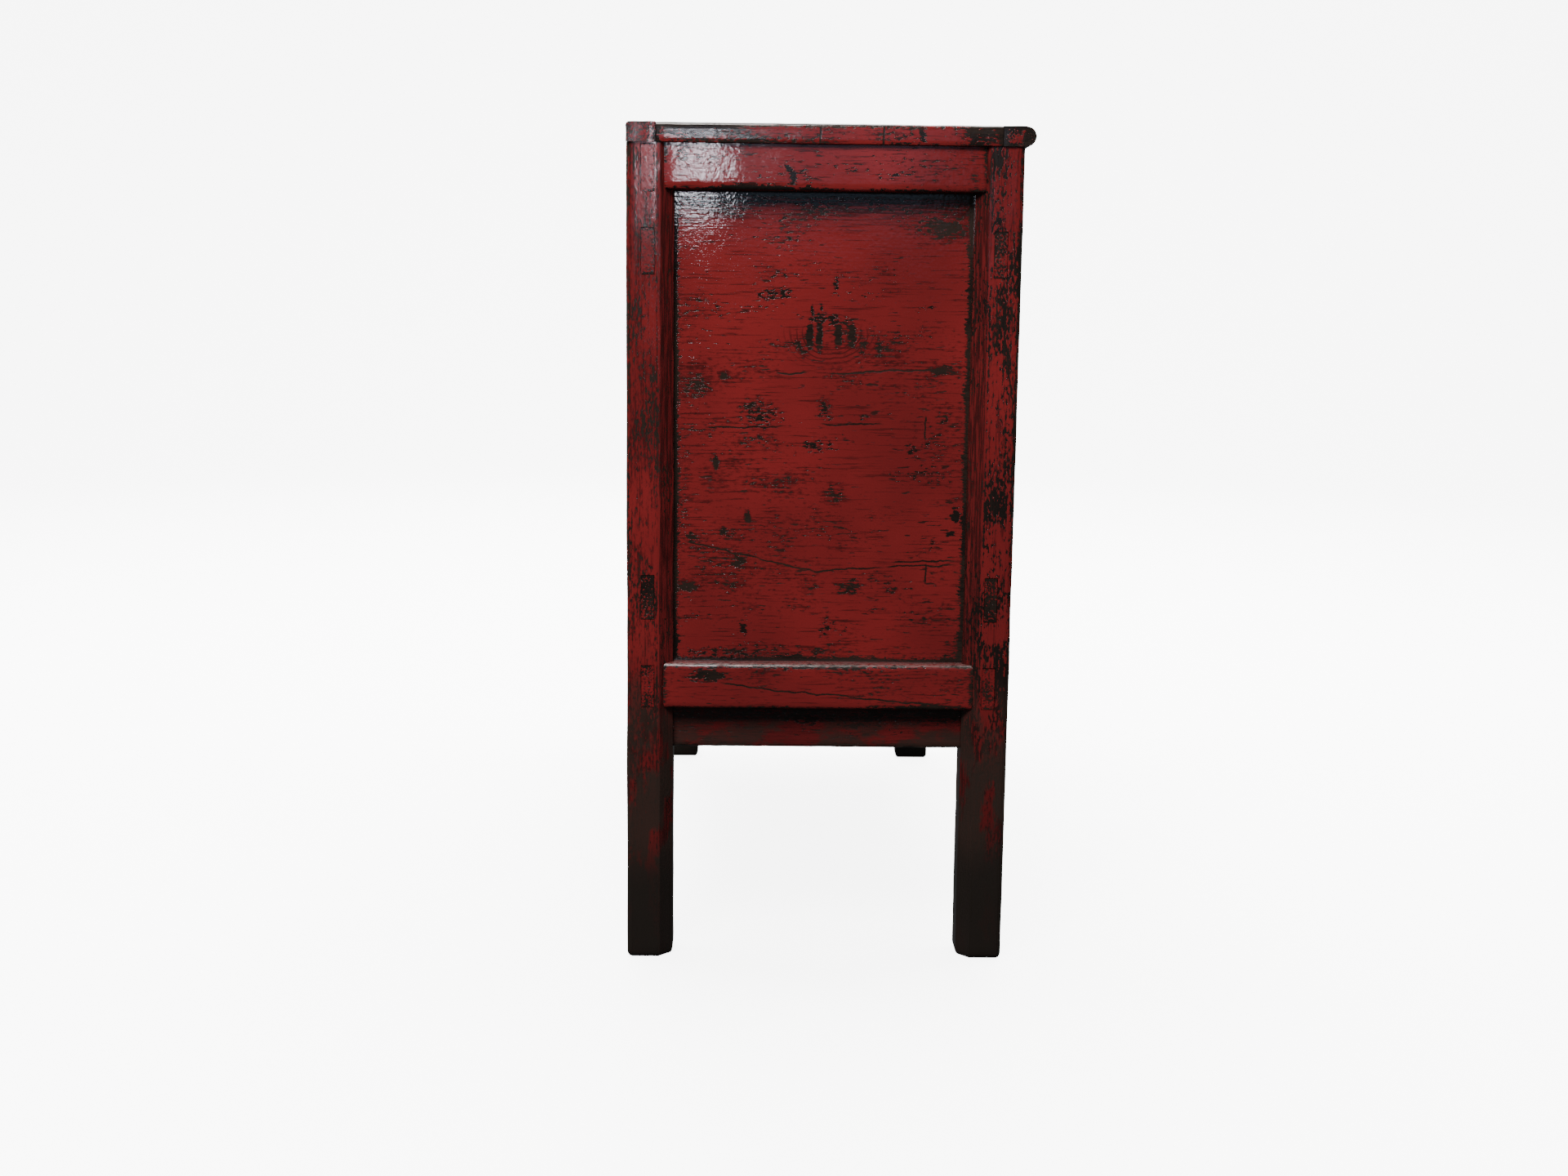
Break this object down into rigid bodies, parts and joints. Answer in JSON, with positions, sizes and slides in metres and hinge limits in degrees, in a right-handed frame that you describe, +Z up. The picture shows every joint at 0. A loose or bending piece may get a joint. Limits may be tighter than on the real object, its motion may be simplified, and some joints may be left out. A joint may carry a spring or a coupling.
{
  "type": "sideboard",
  "caption": "Worn red-lacquer sideboard: drawers over pivoting doors in a frame-and-panel case with through tenons, on tall straight legs.",
  "frame": {"origin": "on the floor under the middle of the overall outline", "axes": "+X along the length, to the right as seen from the front; the front faces -Y; +Z up"},
  "size_m": [0.92, 0.4144, 0.87],
  "materials": {
    "red_lacquer": "glossy red lacquer over wood, worn through to black at the edges and feet",
    "bare_wood": "bare aged softwood, oiled by use",
    "brass": "old brass, dulled"
  },
  "bodies": {
    "case": {"top_front_nosing": "red_lacquer", "top_back_rail": "red_lacquer", "top_boards": "red_lacquer", "top_battens": "bare_wood", "front_drawer_rail": "red_lacquer", "front_sill_rail": "red_lacquer", "front_waist_panel": "red_lacquer", "front_bottom_rail": "red_lacquer", "front_apron": "red_lacquer", "drawer_divider": "red_lacquer", "drawer_runners": "bare_wood", "floor_boards": "bare_wood", "back_top_rail": "bare_wood", "back_drawer_rail": "bare_wood", "back_sill_rail": "bare_wood", "back_bottom_rail": "bare_wood", "back_main_panel": "bare_wood", "back_narrow_panels": "bare_wood", "post_front_left": "red_lacquer", "post_front_right": "red_lacquer", "post_back_left": "red_lacquer", "post_back_right": "red_lacquer", "side_top_rail_left": "red_lacquer", "side_top_rail_right": "red_lacquer", "side_panel_left": "red_lacquer", "side_panel_right": "red_lacquer", "side_bottom_rail_left": "red_lacquer", "side_bottom_rail_right": "red_lacquer", "side_apron_left": "red_lacquer", "side_apron_right": "red_lacquer", "top_end_cap_left": "red_lacquer", "top_end_cap_right": "red_lacquer"},
    "drawer_left": {"drawer_front_left": "red_lacquer", "drawer_outer_side_left": "bare_wood", "drawer_inner_side_left": "bare_wood", "drawer_back_left": "bare_wood", "drawer_bottom_left": "bare_wood", "drawer_plate_left": "brass"},
    "drawer_pull_left": {"drawer_pull_left": "brass"},
    "door_left": {"door_hinge_stile_left": "red_lacquer", "door_meeting_stile_left": "red_lacquer", "door_top_rail_left": "red_lacquer", "door_bottom_rail_left": "red_lacquer", "door_panel_left": "red_lacquer", "door_plate_left": "brass"},
    "door_pull_left": {"door_pull_left": "brass"},
    "drawer_right": {"drawer_front_right": "red_lacquer", "drawer_outer_side_right": "bare_wood", "drawer_inner_side_right": "bare_wood", "drawer_back_right": "bare_wood", "drawer_bottom_right": "bare_wood", "drawer_plate_right": "brass"},
    "drawer_pull_right": {"drawer_pull_right": "brass"},
    "door_right": {"door_hinge_stile_right": "red_lacquer", "door_meeting_stile_right": "red_lacquer", "door_top_rail_right": "red_lacquer", "door_bottom_rail_right": "red_lacquer", "door_panel_right": "red_lacquer", "door_plate_right": "brass"},
    "door_pull_right": {"door_pull_right": "brass"}
  },
  "joints": [
    {"name": "drawer_left_slide", "type": "slide", "parent": "case", "child": "drawer_left", "axis": [0, -1, 0], "range_m": [0, 0.26]},
    {"name": "drawer_pull_left_swing", "type": "hinge", "parent": "drawer_left", "child": "drawer_pull_left", "pos_m": [-0.215, -0.2012, 0.809], "axis": [-1, 0, 0], "range_deg": [0, 85]},
    {"name": "door_left_hinge", "type": "hinge", "parent": "case", "child": "door_left", "pos_m": [-0.3995, -0.1798, 0.5665], "axis": [0, 0, -1], "range_deg": [0, 90]},
    {"name": "door_pull_left_swing", "type": "hinge", "parent": "door_left", "child": "door_pull_left", "pos_m": [-0.021, -0.2012, 0.5665], "axis": [-1, 0, 0], "range_deg": [0, 85]},
    {"name": "drawer_right_slide", "type": "slide", "parent": "case", "child": "drawer_right", "axis": [0, -1, 0], "range_m": [0, 0.26]},
    {"name": "drawer_pull_right_swing", "type": "hinge", "parent": "drawer_right", "child": "drawer_pull_right", "pos_m": [0.215, -0.2012, 0.809], "axis": [-1, 0, 0], "range_deg": [0, 85]},
    {"name": "door_right_hinge", "type": "hinge", "parent": "case", "child": "door_right", "pos_m": [0.3995, -0.1798, 0.5665], "axis": [0, 0, 1], "range_deg": [0, 90]},
    {"name": "door_pull_right_swing", "type": "hinge", "parent": "door_right", "child": "door_pull_right", "pos_m": [0.021, -0.2012, 0.5665], "axis": [-1, 0, 0], "range_deg": [0, 85]}
  ]
}
